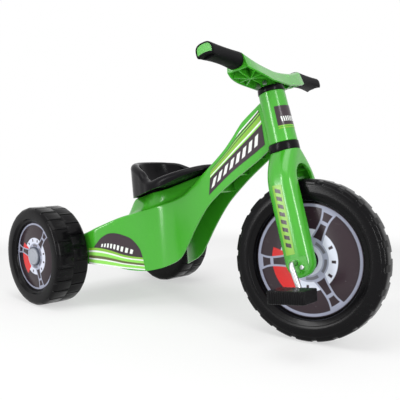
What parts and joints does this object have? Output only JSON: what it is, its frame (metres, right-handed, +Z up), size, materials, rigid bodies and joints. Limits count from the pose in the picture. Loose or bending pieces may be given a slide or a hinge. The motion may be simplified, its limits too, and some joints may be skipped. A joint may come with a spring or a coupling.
{
  "type": "kids pedal tricycle",
  "caption": "Low pedal tricycle for a child: large pedalled front wheel in a leaning fork, moulded open-bottomed body, bucket seat and wide rear wheels.",
  "frame": {"origin": "On the floor, under the middle of the trike's length and width.", "axes": "+X to the front of the trike, +Y to the rider's left, +Z up. At rest the steering is turned 10.7 degrees to the rider's left."},
  "size_m": [0.8524, 0.464, 0.5313],
  "materials": {
    "green_plastic": "semi-gloss moulded",
    "seat_black": "glossy blow-moulded",
    "black_plastic": "satin moulded",
    "tyre_black": "satin blow-moulded plastic wheel",
    "grip_black": "matte",
    "zinc_steel": "zinc plated",
    "printed_disc": "printed, satin",
    "hub_cap_grey": "satin moulded"
  },
  "bodies": {
    "frame": {"body_shell": "green_plastic", "seat": "seat_black", "seat_bolt_front": "zinc_steel", "seat_bolt_rear": "zinc_steel", "seat_nut_front": "zinc_steel", "seat_nut_rear": "zinc_steel", "rear_axle": "zinc_steel", "rear_left_axle_bush": "black_plastic", "rear_right_axle_bush": "black_plastic", "rear_left_washer": "zinc_steel", "rear_right_washer": "zinc_steel", "rear_left_push_nut": "zinc_steel", "rear_right_push_nut": "zinc_steel", "lower_head_bush": "black_plastic", "upper_head_bush": "black_plastic"},
    "steering": {"fork": "green_plastic", "steering_stem": "zinc_steel", "stem_screw": "zinc_steel", "handlebar": "green_plastic", "handlebar_bolt": "zinc_steel", "handlebar_nut": "zinc_steel", "left_grip": "grip_black", "right_grip": "grip_black", "left_crank_bush": "black_plastic", "right_crank_bush": "black_plastic", "left_axle_clamp": "green_plastic", "right_axle_clamp": "green_plastic", "left_clamp_screw": "zinc_steel", "right_clamp_screw": "zinc_steel"},
    "front_wheel_set": {"front_wheel": "tyre_black", "crank": "zinc_steel", "front_left_disc": "printed_disc", "front_right_disc": "printed_disc", "front_left_drive_hub": "black_plastic", "front_right_drive_hub": "black_plastic", "left_pedal_nut": "zinc_steel", "right_pedal_nut": "zinc_steel"},
    "right_pedal_set": {"right_pedal": "black_plastic", "right_pedal_cap": "black_plastic"},
    "left_pedal_set": {"left_pedal": "black_plastic", "left_pedal_cap": "black_plastic"},
    "rear_right_wheel_set": {"rear_right_wheel": "tyre_black", "rear_right_disc": "printed_disc", "rear_right_hub_cap": "hub_cap_grey"},
    "rear_left_wheel_set": {"rear_left_wheel": "tyre_black", "rear_left_disc": "printed_disc", "rear_left_hub_cap": "hub_cap_grey"}
  },
  "joints": [
    {"name": "steering_turn", "type": "hinge", "parent": "frame", "child": "steering", "pos_m": [0.27678, 0, 0.14997], "axis": [-0.289, 0, 0.9573], "range_deg": [-55.7, 34.3]},
    {"name": "front_wheel_spin", "type": "hinge", "parent": "steering", "child": "front_wheel_set", "pos_m": [0.27678, 0, 0.14997], "axis": [-0.1777, 0.9826, -0.0537], "continuous": true},
    {"name": "right_pedal_spin", "type": "hinge", "parent": "front_wheel_set", "child": "right_pedal_set", "pos_m": [0.29889, 0.00137, 0.10182], "axis": [-0.1777, 0.9826, -0.0537], "continuous": true},
    {"name": "left_pedal_spin", "type": "hinge", "parent": "front_wheel_set", "child": "left_pedal_set", "pos_m": [0.25468, -0.00137, 0.19812], "axis": [-0.1777, 0.9826, -0.0537], "continuous": true},
    {"name": "rear_right_wheel_spin", "type": "hinge", "parent": "frame", "child": "rear_right_wheel_set", "pos_m": [-0.31522, 0, 0.11096], "axis": [0, 1, 0], "continuous": true},
    {"name": "rear_left_wheel_spin", "type": "hinge", "parent": "frame", "child": "rear_left_wheel_set", "pos_m": [-0.31522, 0, 0.11096], "axis": [0, 1, 0], "continuous": true}
  ]
}
